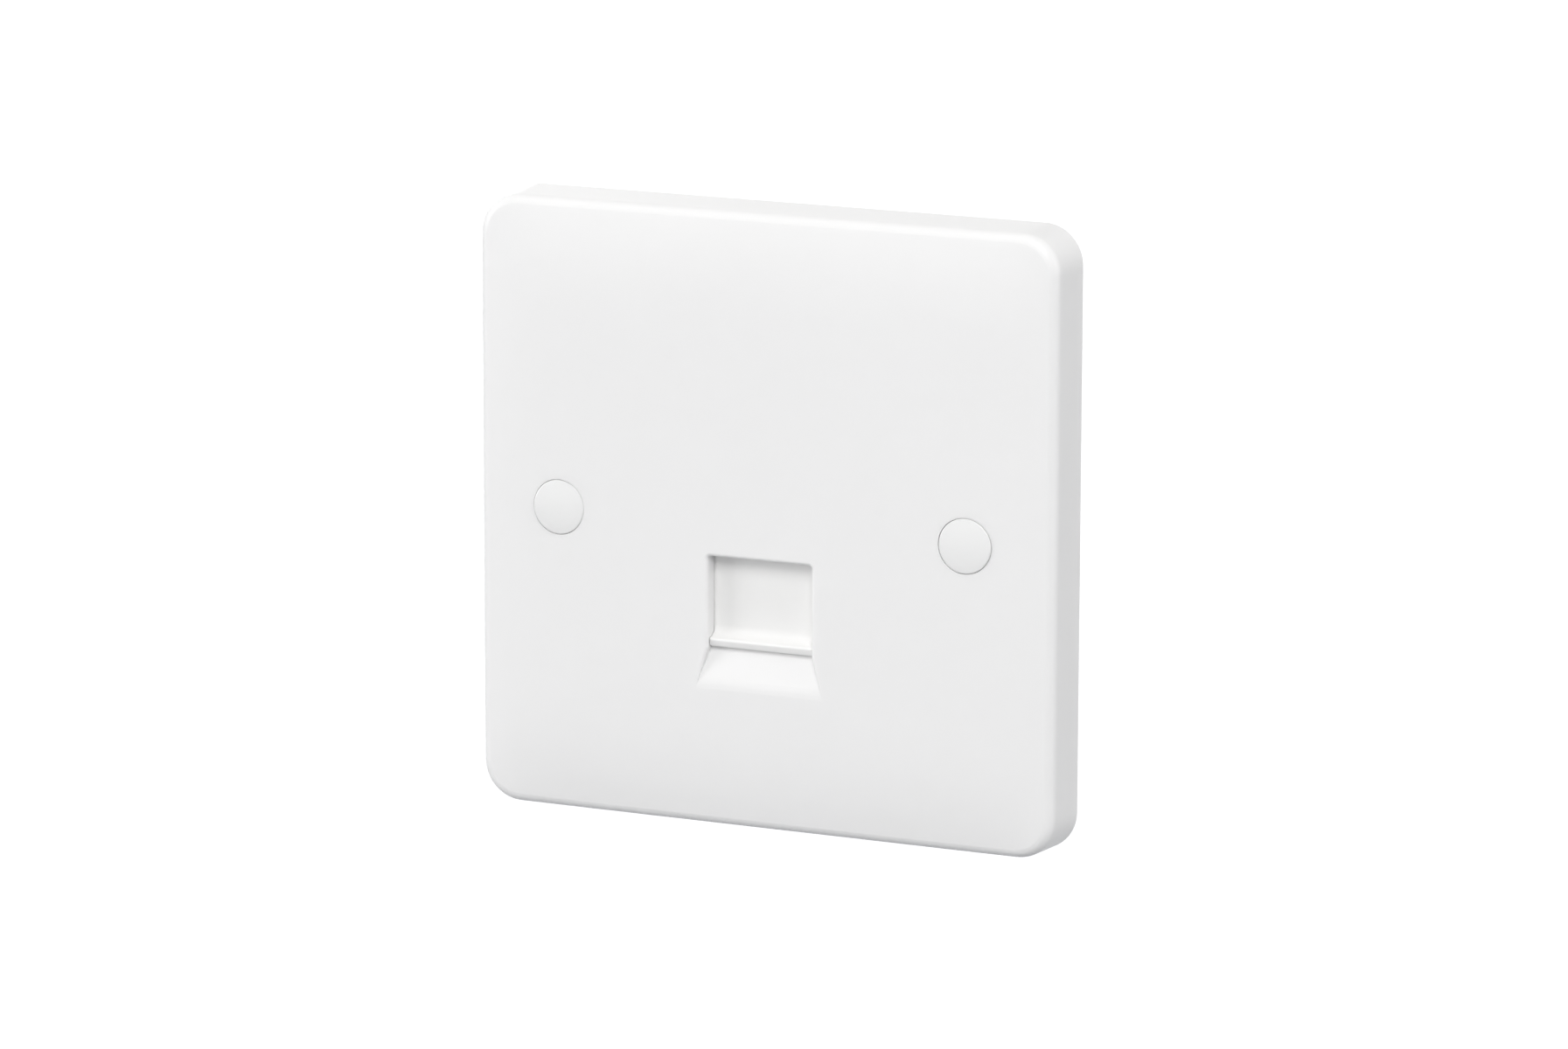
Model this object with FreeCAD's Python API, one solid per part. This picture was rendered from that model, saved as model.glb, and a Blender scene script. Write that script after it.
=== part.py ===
import FreeCAD, Part
import math
import os

# Telephone wall socket on a one-gang plate, in millimetres.
# X runs to the right, Y into the wall and Z up. The front looks along -Y.
# The origin is the middle of the plate's back rim, in the plane of the wall.

# Front plate
plate_side = 86.0
plate_depth = 9.5
plate_corner = 5.5
plate_wall = 2.3
plate_draft = 2.5
plate_edge_round = 1.5
pillow_band = 18.5
pillow_drop = 1.5

# Aperture and the ramp below it
aperture_width = 15.5
aperture_height = 12.8
aperture_top = -4.8
aperture_corner = 0.5
ramp_depth = 1.7
ramp_length = 5.0
ramp_flare = 1.5
ramp_root_round = 0.25
ramp_foot_round = 4.5
mouth_round = 0.5

# Ribs inside the plate
rib_thickness = 1.2
rib_setback = 2.8
rib_clearance = 1.4
cross_rib_upper = 22.0
cross_rib_lower = 29.0

# Fixing screws
screw_inset = 12.85
screw_radius = 1.75
screw_length = 25.0
screw_tip_chamfer = 0.5
screw_neck_radius = 1.5
screw_neck_length = 3.5
screw_head_radius = 3.3
screw_head_height = 2.2
screw_head_round = 0.8
screw_slot_width = 0.9
screw_slot_depth = 1.1
screw_hole_gap = 0.25
screw_boss_wall = 1.6
screw_boss_setback = 1.5

# Screw caps
cap_radius = 3.8
cap_gap = 0.06
cap_thickness = 1.5
cap_crown = 0.26
cap_edge_round = 0.2
cap_skirt_length = 1.3
cap_skirt_wall = 0.9

# Shutter
shutter_thickness = 1.5
shutter_lap_side = 1.2
shutter_lap_top = 1.4
shutter_lap_bottom = 1.4
shutter_gap = 0.1
shutter_side_gap = 0.15
shutter_travel = 10.0
shutter_end_gap = 0.4
shutter_corner = 0.6
ledge_setback = 0.55
ledge_thickness = 1.1
ledge_slope = 0.35
ledge_lean = 0.35
ledge_gap = 0.12
ledge_side_gap = 0.07
ledge_tip_round = 0.3
ledge_foot_round = 0.2
ledge_corner_round = 0.3
ledge_root_round = 1.5
pad_height = 3.0
pad_gap = 0.2
peg_radius = 0.75
peg_height = 2.2

# Shutter spring
spring_coil_radius = 1.2
spring_wire_radius = 0.18
spring_length = 15.2
spring_turns = 9.0
spring_groove_gap = 0.3

# Jack housing
channel_wall = 2.0
channel_foot = 3.0
groove_wall = 1.8
frame_web = 1.2
frame_corner = 1.5
plug_width = 12.5
cavity_height = 8.0
cavity_depth = 12.0
cavity_rise = 0.3
latch_width = 2.65
latch_height = 3.2
latch_lip = 0.75
latch_lip_depth = 3.0
socket_wall = 1.4
socket_back = 1.3
socket_corner = 0.8
stake_radius = 0.9
stake_head_radius = 1.5
stake_head_height = 0.7
stake_inset = 2.0

# Fixing of the housing to the plate
module_screw_radius = 1.1
module_screw_length = 5.2
module_head_radius = 2.3
module_head_height = 1.5
module_head_round = 0.7
module_slot_width = 0.7
module_slot_depth = 0.7
module_tip_chamfer = 0.55
module_screw_height = 3.5
module_boss_wall = 1.55
module_boss_gap = 0.5
module_hole_gap = 0.05
pilot_floor = 1.4
ear_thickness = 2.0
lug_width = 5.0
lug_spacing = 12.0
lug_post = 1.6
lug_nose = 1.2
lug_bite = 0.9
lug_gap = 0.1

# Contact carrier and contact wires
contact_count = 6
contact_pitch = 1.8
contact_radius = 0.25
contact_bend = 0.6
contact_rise_angle = 22.0
contact_run = 6.2
contact_tail = 1.2
carrier_thickness = 2.2
carrier_gap = 0.05
carrier_front_wall = 0.6
carrier_setback = 1.9
slot_gap = 0.1
slot_floor = 0.85

# Circuit board
board_height = 21.0
board_thickness = 1.6
board_corner = 1.0
board_hole_gap = 0.1

# Terminal blocks
block_width = 9.0
block_height = 18.0
block_depth = 9.0
block_inset = 0.4
block_side_gap = 0.6
block_floor = 0.6
block_round = 0.5
core_groove_width = 1.5
core_groove_depth = 6.0

# Terminals
terminals_per_block = 3
terminal_pitch = 5.5
blade_thickness = 0.5
blade_width = 3.2
blade_height = 7.0
blade_gap = 0.05
blade_slit = 0.35
blade_slit_depth = 4.0
blade_mouth = 1.4
tail_width = 0.9
tail_reach = 0.8
tail_gap = 0.1

# Depths that the pieces share
face_y = -plate_depth
inner_y = face_y + plate_wall
root_y = face_y + plate_wall / 2
shutter_front_y = inner_y + shutter_gap
shutter_back_y = shutter_front_y + shutter_thickness
channel_y = shutter_back_y + shutter_gap
ledge_front_y = face_y + ledge_setback
cap_back_y = face_y + cap_thickness + cap_skirt_length
screw_seat_y = cap_back_y + screw_head_height

# Heights and half widths that the pieces share
aperture_half = aperture_width / 2
aperture_bottom = aperture_top - aperture_height
ramp_foot = aperture_bottom - ramp_length
ramp_angle = math.atan2(ramp_depth, ramp_length)
toe_reach = ramp_foot_round * math.tan(ramp_angle / 2)
toe_top = ramp_foot + toe_reach * math.cos(ramp_angle)
toe_bottom = ramp_foot - toe_reach
shutter_half = aperture_half + shutter_lap_side
shutter_top = aperture_top + shutter_lap_top
shutter_bottom = aperture_bottom - shutter_lap_bottom
channel_half = shutter_half + shutter_side_gap
channel_bottom = shutter_bottom - shutter_gap
channel_top = shutter_top + shutter_travel + shutter_end_gap
frame_half = channel_half + channel_wall
frame_bottom = channel_bottom - channel_foot
frame_top = channel_top + channel_wall
screw_x = plate_side / 2 - screw_inset

# The spring's groove, which sets how deep the housing's frame is
groove_half = spring_coil_radius + spring_wire_radius + spring_groove_gap
spring_y = inner_y + groove_half
groove_y = spring_y + groove_half
groove_top = shutter_top + spring_length
groove_bottom = shutter_top - pad_height - shutter_end_gap
tongue_half = groove_half + groove_wall
tongue_top = groove_top + groove_wall
frame_back_y = groove_y + frame_web

# The plug cavity and its latch slot, centred together behind the aperture
cavity_half = (plug_width + latch_width) / 2
cavity_floor = aperture_bottom + cavity_rise
cavity_top = cavity_floor + cavity_height
cavity_back_y = channel_y + cavity_depth
latch_x = plug_width - cavity_half
plug_x = latch_x - plug_width / 2
jack_z = (cavity_floor + cavity_top) / 2
socket_half = cavity_half + socket_wall
socket_top = cavity_top + socket_wall
socket_back_y = cavity_back_y + socket_back

# The contact carrier under the cavity
carrier_half = plug_width / 2 - carrier_gap
carrier_bottom = cavity_floor - carrier_thickness
carrier_front_y = channel_y + carrier_setback
socket_bottom = carrier_bottom - carrier_gap - socket_wall

# The housing's ears and the plate's bosses for them
module_boss_radius = module_screw_radius + module_boss_wall
module_screw_x = frame_half + module_boss_radius + module_boss_gap
ear_front_y = frame_back_y - ear_thickness
rib_x = module_screw_x + module_boss_radius + rib_clearance

# The board and its terminals
board_front_y = socket_back_y
board_back_y = board_front_y + board_thickness
block_back_y = board_back_y + block_depth
block_x = socket_half + block_side_gap + block_width / 2
board_half = block_x + block_width / 2 + block_inset
stake_x = socket_half - stake_inset
stake_z = socket_top - stake_inset
wire_z = cavity_floor - carrier_thickness + slot_floor + contact_radius

cut_margin = 1.0
tiny = 0.01
dome_degree = 3
sides = {"left": -1, "right": 1}


def vec(x, y, z):
    return FreeCAD.Vector(x, y, z)


def facing(y):
    """Places a flat outline (x, z) upright at depth y."""
    return lambda point: vec(point.x, y, point.y)


def side_on(x):
    """Places a flat profile (y, z) upright at sideways place x."""
    return lambda point: vec(x, point.x, point.y)


def rounded_wire(corners, place):
    """Closed outline through corners (a, b, radius), with a tangent arc at each radius."""
    turns = []
    for index, (a, b, radius) in enumerate(corners):
        here = vec(a, b, 0)
        before = corners[index - 1]
        after = corners[(index + 1) % len(corners)]
        back = (vec(before[0], before[1], 0) - here).normalize()
        ahead = (vec(after[0], after[1], 0) - here).normalize()
        half_angle = back.getAngle(ahead) / 2
        reach = radius / math.tan(half_angle)
        inward = (back + ahead).normalize()
        middle = here + inward * (radius / math.sin(half_angle) - radius)
        turns.append((here + back * reach, middle, here + ahead * reach, radius))
    edges = []
    for index, (start, middle, end, radius) in enumerate(turns):
        if radius > 0:
            edges.append(Part.Arc(place(start), place(middle), place(end)).toShape())
        following = turns[(index + 1) % len(turns)][0]
        if (following - end).Length > tiny:
            edges.append(Part.LineSegment(place(end), place(following)).toShape())
    return Part.Wire(edges)


def rectangle(a0, a1, b0, b1, radius=0):
    """Corners of a rectangle, all with one radius."""
    return [(a0, b0, radius), (a1, b0, radius), (a1, b1, radius), (a0, b1, radius)]


def upright_prism(corners, y0, y1):
    """Solid with an outline in the plane of the wall, from depth y0 to y1."""
    return Part.Face(rounded_wire(corners, facing(y0))).extrude(vec(0, y1 - y0, 0))


def sideways_prism(profile, x0, x1):
    """Solid with a profile (y, z), from x0 to x1."""
    return Part.Face(rounded_wire(profile, side_on(x0))).extrude(vec(x1 - x0, 0, 0))


def bar(radius, x, z, y0, y1):
    """Round bar along the depth."""
    return Part.makeCylinder(radius, y1 - y0, vec(x, y0, z), vec(0, 1, 0))


def turned(profile, x, z):
    """Solid of revolution about an axis along the depth; the profile is (radius, y, round)."""
    face = Part.Face(rounded_wire(profile, lambda point: vec(point.x, point.y, 0)))
    solid = face.revolve(vec(0, 0, 0), vec(0, 1, 0), 360)
    solid.translate(vec(x, 0, z))
    return solid


def edges_where(shape, test):
    """Edges whose middle and length pass a test."""
    return [edge for edge in shape.Edges if test(edge.CenterOfMass, edge)]


def pillow(depth):
    """Block under the domed face: flat in the middle, and ever steeper towards a nearly level rim."""
    flat = plate_side / 2 - pillow_band
    reach = pillow_band + plate_edge_round
    edge = flat + reach
    outer = (2 * edge + flat) / dome_degree
    inner = edge / dome_degree
    places = [-edge, -outer, -inner, inner, outer, edge]
    # Share of the drop at each control point of a cubic curve that leaves the flat without a bend.
    past_rim = (reach / pillow_band) ** dome_degree
    shares = [past_rim, 0, 0, 0, 0, past_rim]
    poles = []
    for x, share_x in zip(places, shares):
        row = []
        for z, share_z in zip(places, shares):
            share = 1 - (1 - share_x) * (1 - share_z)
            row.append(vec(x, pillow_drop * share - depth, z))
        poles.append(row)
    knots = [-edge, -flat, flat, edge]
    repeats = [dome_degree + 1, 1, 1, dome_degree + 1]
    dome = Part.BSplineSurface()
    dome.buildFromPolesMultsKnots(poles, repeats, repeats, knots, knots, False, False,
                                  dome_degree, dome_degree)
    return dome.toShape().extrude(vec(0, 2 * depth, 0))


def drafted_block(half, corner, depth):
    """Square block with tapered walls and rounded upright corners."""
    inset = depth * math.tan(math.radians(plate_draft))
    front = half - inset
    block = Part.makeWedge(-front, -depth, -front, -half, -half, front, 0, front, half, half)
    corners = edges_where(block, lambda middle, edge: tiny < -middle.y < depth - tiny)
    return block.makeFillet(corner, corners)


def plate_form(inset, rounding):
    """The plate's outer form, or the same form an inset further in."""
    half = plate_side / 2 - inset
    depth = plate_depth - inset
    form = pillow(depth).common(drafted_block(half, plate_corner - inset, depth)).Solids[0]
    if rounding > 0:
        lip = pillow_drop + plate_edge_round

        def on_rim(middle, edge):
            beside = max(abs(middle.x), abs(middle.z)) > half - lip
            return beside and middle.y < -depth / 2 and edge.BoundBox.YLength < depth / 2

        form = form.makeFillet(rounding, edges_where(form, on_rim))
    # The flat middle becomes one true plane, for the cuts that are made in it.
    core = plate_side / 2 - pillow_band - cut_margin
    hollow = upright_prism(rectangle(-core, core, -core, core), -depth - cut_margin, cut_margin)
    middle = upright_prism(rectangle(-core, core, -core, core), -depth, 0)
    return form.cut(hollow).fuse(middle).removeSplitter()


def aperture_tool():
    """The shutter's opening, straight through the plate."""
    return upright_prism([
        (-aperture_half, aperture_top, aperture_corner),
        (aperture_half, aperture_top, aperture_corner),
        (aperture_half, aperture_bottom, 0),
        (-aperture_half, aperture_bottom, 0),
    ], face_y - cut_margin, inner_y + cut_margin)


def ramp_half(z):
    """Half width of the splayed ramp at one height."""
    return aperture_half + ramp_flare * (aperture_bottom - z) / ramp_length


def ramp_section(z):
    """Outline of the ramp's cut at one height, with soft edges at the face and along its floor."""
    share = (z - ramp_foot) / ramp_length
    half = ramp_half(z)
    floor_y = face_y + ramp_depth * share
    lip = mouth_round * share
    root = ramp_root_round * share
    return rounded_wire([
        (-half - lip, face_y - cut_margin, 0),
        (-half - lip, face_y, 0),
        (-half, face_y, lip),
        (-half, floor_y, root),
        (half, floor_y, root),
        (half, face_y, lip),
        (half + lip, face_y, 0),
        (half + lip, face_y - cut_margin, 0),
    ], lambda point: vec(point.x, point.y, z))


def ramp_tools():
    """The splayed ramp below the opening, and its toe, where the floor curves out into the face."""
    chute = Part.makeLoft([ramp_section(aperture_bottom), ramp_section(toe_top)], True, True)
    profile = [
        (face_y - cut_margin, toe_top, 0),
        (face_y + toe_reach * math.sin(ramp_angle), toe_top, 0),
        (face_y, ramp_foot, ramp_foot_round),
        (face_y, toe_bottom, 0),
        (face_y - cut_margin, toe_bottom, 0),
    ]
    top = ramp_half(toe_top)
    bottom = ramp_half(toe_bottom)
    outline = [(-top, toe_top, 0), (top, toe_top, 0), (bottom, toe_bottom, 0), (-bottom, toe_bottom, 0)]
    toe = upright_prism(outline, face_y - cut_margin, inner_y)
    return [chute, toe.common(sideways_prism(profile, -bottom, bottom))]


def soften_mouth(plate):
    """Rounds the opening's front edges at its top and sides."""

    def on_mouth(middle, edge):
        across = abs(middle.x) < aperture_half + tiny
        tall = aperture_bottom + tiny < middle.z < aperture_top + tiny
        return across and tall and abs(middle.y - face_y) < tiny

    return plate.makeFillet(mouth_round, edges_where(plate, on_mouth))


def rib(corners):
    """Rib from within the plate's face back towards the wall."""
    return upright_prism(corners, root_y, -rib_setback)


def plate_ribs():
    """Two upright ribs, two cross ribs and a web through each screw boss."""
    half = plate_side / 2
    thick = rib_thickness / 2
    ribs = [
        rib(rectangle(-half, half, cross_rib_upper - thick, cross_rib_upper + thick)),
        rib(rectangle(-half, half, -cross_rib_lower - thick, -cross_rib_lower + thick)),
    ]
    for side in sides.values():
        ribs.append(rib(rectangle(side * rib_x - thick, side * rib_x + thick, -half, half)))
        near, far = sorted((side * rib_x, side * half))
        ribs.append(rib(rectangle(near, far, -thick, thick)))
    return ribs


def hook_lug(x):
    """Snap lug that holds the foot of the housing against the plate."""
    nose_y = frame_back_y + lug_gap
    post_top = frame_bottom - lug_gap
    post_bottom = post_top - lug_post
    bite_top = frame_bottom + lug_bite
    profile = [
        (root_y, post_bottom, 0),
        (nose_y + lug_nose, post_bottom, 0),
        (nose_y, bite_top, 0),
        (nose_y, post_top, 0),
        (root_y, post_top, 0),
    ]
    return sideways_prism(profile, x - lug_width / 2, x + lug_width / 2)


def screw_tunnel(x):
    """Bore for one fixing screw: the cap's pocket, then the screw's clearance hole."""
    pocket = bar(cap_radius + cap_gap, x, 0, face_y - cut_margin, screw_seat_y)
    hole = bar(screw_radius + screw_hole_gap, x, 0, face_y, 0)
    return pocket.fuse(hole)


def front_plate():
    """Domed plate, hollow behind but for its ribs, bosses and lugs, with its holes and the ramp."""
    standing = plate_ribs()
    pilots = []
    for side in sides.values():
        boss_radius = cap_radius + cap_gap + screw_boss_wall
        standing.append(bar(boss_radius, side * screw_x, 0, root_y, -screw_boss_setback))
        standing.append(bar(module_boss_radius, side * module_screw_x, module_screw_height,
                            root_y, ear_front_y))
        pilots.append(bar(module_screw_radius + module_hole_gap, side * module_screw_x,
                          module_screw_height, face_y + pilot_floor, ear_front_y))
        standing.append(hook_lug(side * lug_spacing / 2))
    hollow = plate_form(plate_wall, 0).cut(standing)
    plate = plate_form(0, plate_edge_round).cut(hollow)
    cuts = [aperture_tool()] + pilots
    for side in sides.values():
        cuts.append(screw_tunnel(side * screw_x))
    plate = plate.cut(cuts).removeSplitter().Solids[0]
    return soften_mouth(plate).cut(ramp_tools()).removeSplitter().Solids[0]


def screw_cap(side):
    """Crowned disc with a skirt that presses into the plate's pocket."""
    rim_y = face_y + cap_edge_round
    back_y = face_y + cap_thickness
    skirt_radius = cap_radius - cap_skirt_wall
    start = vec(0, face_y - cap_crown, 0)
    shoulder = vec(cap_radius - cap_edge_round, face_y, 0)
    # Half way out, a shallow crown still has three quarters of its height.
    bow = vec(shoulder.x / 2, face_y - cap_crown * 3 / 4, 0)
    turn = cap_edge_round * (1 - math.sqrt(0.5))
    edge_middle = vec(cap_radius - turn, face_y + turn, 0)
    points = [vec(cap_radius, rim_y, 0), vec(cap_radius, cap_back_y, 0), vec(skirt_radius, cap_back_y, 0),
              vec(skirt_radius, back_y, 0), vec(0, back_y, 0), start]
    edges = [Part.Arc(start, bow, shoulder).toShape(), Part.Arc(shoulder, edge_middle, points[0]).toShape()]
    for here, after in zip(points, points[1:]):
        edges.append(Part.LineSegment(here, after).toShape())
    cap = Part.Face(Part.Wire(edges)).revolve(vec(0, 0, 0), vec(0, 1, 0), 360)
    cap.translate(vec(side * screw_x, 0, 0))
    return cap


def slotted_screw(head_radius, head_height, head_round, shank_radius, tip_y, seat_y, tip_chamfer):
    """Screw on the depth axis; it points to tip_y and its head lies on seat_y."""
    onward = math.copysign(1, tip_y - seat_y)
    head_y = seat_y - onward * head_height
    profile = [
        (0, head_y, 0),
        (head_radius, head_y, head_round),
        (head_radius, seat_y, 0),
        (shank_radius, seat_y, 0),
        (shank_radius, tip_y - onward * tip_chamfer, 0),
        (shank_radius - tip_chamfer, tip_y, 0),
        (0, tip_y, 0),
    ]
    return turned(profile, 0, 0)


def slot_cut(width, depth, reach, head_y, onward):
    """Driver slot across a screw's head."""
    low, high = sorted((head_y - onward * cut_margin, head_y + onward * depth))
    return upright_prism(rectangle(-reach, reach, -width / 2, width / 2), low, high)


def fixing_screw(side):
    """Machine screw with a plain neck between its head and its thread."""
    screw = slotted_screw(screw_head_radius, screw_head_height, screw_head_round, screw_radius,
                          screw_seat_y + screw_length, screw_seat_y, screw_tip_chamfer)
    head_y = screw_seat_y - screw_head_height
    slot = slot_cut(screw_slot_width, screw_slot_depth, screw_head_radius + cut_margin, head_y, 1)
    neck_end = screw_seat_y + screw_neck_length
    around = bar(screw_radius + cut_margin, 0, 0, screw_seat_y, neck_end)
    neck = bar(screw_neck_radius, 0, 0, screw_seat_y, neck_end)
    screw = screw.cut([slot, around.cut(neck)])
    screw.translate(vec(side * screw_x, 0, 0))
    return screw


def module_screw(side):
    """Self-tapping screw that draws an ear of the housing down on the plate's boss."""
    tip_y = frame_back_y - module_screw_length
    screw = slotted_screw(module_head_radius, module_head_height, module_head_round, module_screw_radius,
                          tip_y, frame_back_y, module_tip_chamfer)
    head_y = frame_back_y + module_head_height
    screw = screw.cut(slot_cut(module_slot_width, module_slot_depth, module_head_radius + cut_margin,
                               head_y, -1))
    screw.translate(vec(side * module_screw_x, 0, module_screw_height))
    return screw


def shutter():
    """Sliding door with the ledge that a plug pushes up, and the pad that carries the spring."""
    outline = rectangle(-shutter_half, shutter_half, shutter_bottom, shutter_top, shutter_corner)
    panel = upright_prism(outline, shutter_front_y, shutter_back_y)
    ledge_half = aperture_half - ledge_side_gap
    ledge_bottom = aperture_bottom + ledge_gap
    ledge_top = ledge_bottom + ledge_thickness
    ledge_outline = [
        (-ledge_half, shutter_front_y, 0),
        (-ledge_half, ledge_front_y, ledge_corner_round),
        (ledge_half, ledge_front_y, ledge_corner_round),
        (ledge_half, shutter_front_y, 0),
    ]
    profile = [
        (shutter_front_y, ledge_bottom, 0),
        (ledge_front_y + ledge_lean, ledge_bottom, ledge_foot_round),
        (ledge_front_y, ledge_top, ledge_tip_round),
        (shutter_front_y, ledge_top + ledge_slope, 0),
    ]
    lying = Part.Face(rounded_wire(ledge_outline, lambda point: vec(point.x, point.y, ledge_bottom)))
    ledge = lying.extrude(vec(0, 0, ledge_thickness + ledge_slope))
    ledge = ledge.common(sideways_prism(profile, -ledge_half, ledge_half))
    door = panel.fuse(ledge).removeSplitter()

    def at_root(middle, edge):
        on_door = abs(middle.y - shutter_front_y) < tiny
        return on_door and abs(middle.z - ledge_top - ledge_slope) < tiny

    door = door.makeFillet(ledge_root_round, edges_where(door, at_root))
    pad_half = groove_half - pad_gap
    pad = upright_prism(rectangle(-pad_half, pad_half, shutter_top - pad_height, shutter_top),
                        shutter_front_y, groove_y - pad_gap)
    peg = Part.makeCylinder(peg_radius, peg_height, vec(0, spring_y, shutter_top))
    return door.fuse([pad, peg]).removeSplitter()


def shutter_spring():
    """Compression spring between the shutter's pad and the top of its groove."""
    rise = spring_length - 2 * spring_wire_radius
    helix = Part.makeHelix(rise / spring_turns, rise, spring_coil_radius)
    section = Part.Wire(Part.makeCircle(spring_wire_radius, vec(spring_coil_radius, 0, 0), vec(0, 1, 0)))
    spring = Part.Wire(helix).makePipeShell([section], True, True)
    spring.translate(vec(0, spring_y, shutter_top + spring_wire_radius))
    return spring


def ear(side):
    """Screw lug on the side of the housing's frame."""
    lobe = bar(module_boss_radius, side * module_screw_x, module_screw_height, ear_front_y, frame_back_y)
    near, far = sorted((side * channel_half, side * module_screw_x))
    arm = upright_prism(rectangle(near, far, module_screw_height - module_boss_radius,
                                  module_screw_height + module_boss_radius), ear_front_y, frame_back_y)
    return lobe.fuse(arm)


def stake(side):
    """Moulded peg that passes through the board and is melted to a domed head."""
    neck_y = cavity_back_y + socket_back / 2
    profile = [
        (0, neck_y, 0),
        (stake_radius, neck_y, 0),
        (stake_radius, board_back_y, 0),
        (stake_head_radius, board_back_y, 0),
        (stake_head_radius, board_back_y + stake_head_height, stake_head_height / 2),
        (0, board_back_y + stake_head_height, 0),
    ]
    return turned(profile, side * stake_x, stake_z)


def jack_housing():
    """Moulding with the shutter's channel in front and the plug's socket behind."""
    frame = upright_prism([
        (-frame_half, frame_bottom, frame_corner),
        (frame_half, frame_bottom, frame_corner),
        (frame_half, frame_top, frame_corner),
        (tongue_half, frame_top, frame_corner / 2),
        (tongue_half, tongue_top, frame_corner),
        (-tongue_half, tongue_top, frame_corner),
        (-tongue_half, frame_top, frame_corner / 2),
        (-frame_half, frame_top, frame_corner),
    ], inner_y, frame_back_y)
    socket = upright_prism(rectangle(-socket_half, socket_half, socket_bottom, socket_top, socket_corner),
                           channel_y, socket_back_y)
    added = [socket]
    for side in sides.values():
        added.append(ear(side))
        added.append(stake(side))
    body = frame.multiFuse(added)
    before_y = inner_y - cut_margin
    past_y = socket_back_y + cut_margin
    pocket_half = plug_width / 2
    latch_low = jack_z - latch_height / 2
    latch_high = jack_z + latch_height / 2
    cuts = [
        upright_prism(rectangle(-channel_half, channel_half, channel_bottom, channel_top),
                      before_y, channel_y),
        upright_prism(rectangle(-groove_half, groove_half, groove_bottom, groove_top), before_y, groove_y),
        upright_prism(rectangle(-cavity_half, latch_x, cavity_floor, cavity_top), before_y, cavity_back_y),
        upright_prism(rectangle(plug_x, cavity_half - latch_lip, latch_low, latch_high),
                      before_y, cavity_back_y),
        upright_prism(rectangle(plug_x, cavity_half, latch_low, latch_high),
                      channel_y + latch_lip_depth, cavity_back_y),
        upright_prism(rectangle(plug_x - pocket_half, plug_x + pocket_half,
                                carrier_bottom - carrier_gap, cavity_floor + tiny),
                      carrier_front_y - carrier_gap, past_y),
    ]
    for side in sides.values():
        cuts.append(bar(module_screw_radius + module_hole_gap, side * module_screw_x, module_screw_height,
                        ear_front_y - tiny, frame_back_y + tiny))
    return body.cut(cuts).removeSplitter().Solids[0]


def contact_x(number):
    """Sideways place of one contact, counted from the left."""
    return plug_x + (number - (contact_count - 1) / 2) * contact_pitch


def contact_carrier():
    """Comb that holds the contact wires apart and closes the cavity below."""
    block = upright_prism(rectangle(plug_x - carrier_half, plug_x + carrier_half,
                                    carrier_bottom, cavity_floor), carrier_front_y, socket_back_y)
    slot_half = contact_radius + slot_gap
    slot_bottom = carrier_bottom + slot_floor - tiny
    slot_front_y = carrier_front_y + carrier_front_wall
    slots = []
    for number in range(contact_count):
        x = contact_x(number)
        slot = rectangle(x - slot_half, x + slot_half, slot_bottom, cavity_floor + cut_margin)
        slots.append(upright_prism(slot, slot_front_y, socket_back_y + cut_margin))
    return block.cut(slots).removeSplitter()


def contact_spring(number):
    """Spring wire from the board, forward in its slot and bent back up into the cavity."""
    x = contact_x(number)
    bend_y = carrier_front_y + carrier_front_wall + contact_radius + slot_gap + contact_bend
    bend_z = wire_z + contact_bend
    rise = math.radians(contact_rise_angle)
    tail = vec(x, board_back_y + contact_tail, wire_z)
    bend_start = vec(x, bend_y, wire_z)
    nose = vec(x, bend_y - contact_bend, bend_z)
    bend_end = vec(x, bend_y - contact_bend * math.sin(rise), bend_z + contact_bend * math.cos(rise))
    tip = bend_end + vec(0, math.cos(rise), math.sin(rise)) * contact_run
    path = Part.Wire([
        Part.LineSegment(tail, bend_start).toShape(),
        Part.Arc(bend_start, nose, bend_end).toShape(),
        Part.LineSegment(bend_end, tip).toShape(),
    ])
    section = Part.Wire(Part.makeCircle(contact_radius, tail, vec(0, 1, 0)))
    return path.makePipeShell([section], True, True)


def terminal_z(number):
    """Height of one terminal in its block, counted from the top."""
    return jack_z - (number - (terminals_per_block - 1) / 2) * terminal_pitch


def circuit_board():
    """Board on the back of the housing, with holes for the contacts, stakes and terminals."""
    board = upright_prism(rectangle(-board_half, board_half, jack_z - board_height / 2,
                                    jack_z + board_height / 2, board_corner), board_front_y, board_back_y)
    before_y = board_front_y - cut_margin
    past_y = board_back_y + cut_margin
    holes = []
    for number in range(contact_count):
        holes.append(bar(contact_radius + board_hole_gap, contact_x(number), wire_z, before_y, past_y))
    tail_radius = math.hypot(tail_width, blade_thickness) / 2
    for side in sides.values():
        holes.append(bar(stake_radius + board_hole_gap, side * stake_x, stake_z, before_y, past_y))
        for number in range(terminals_per_block):
            holes.append(bar(tail_radius + board_hole_gap, side * block_x, terminal_z(number),
                             before_y, past_y))
    return board.cut(holes)


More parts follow.
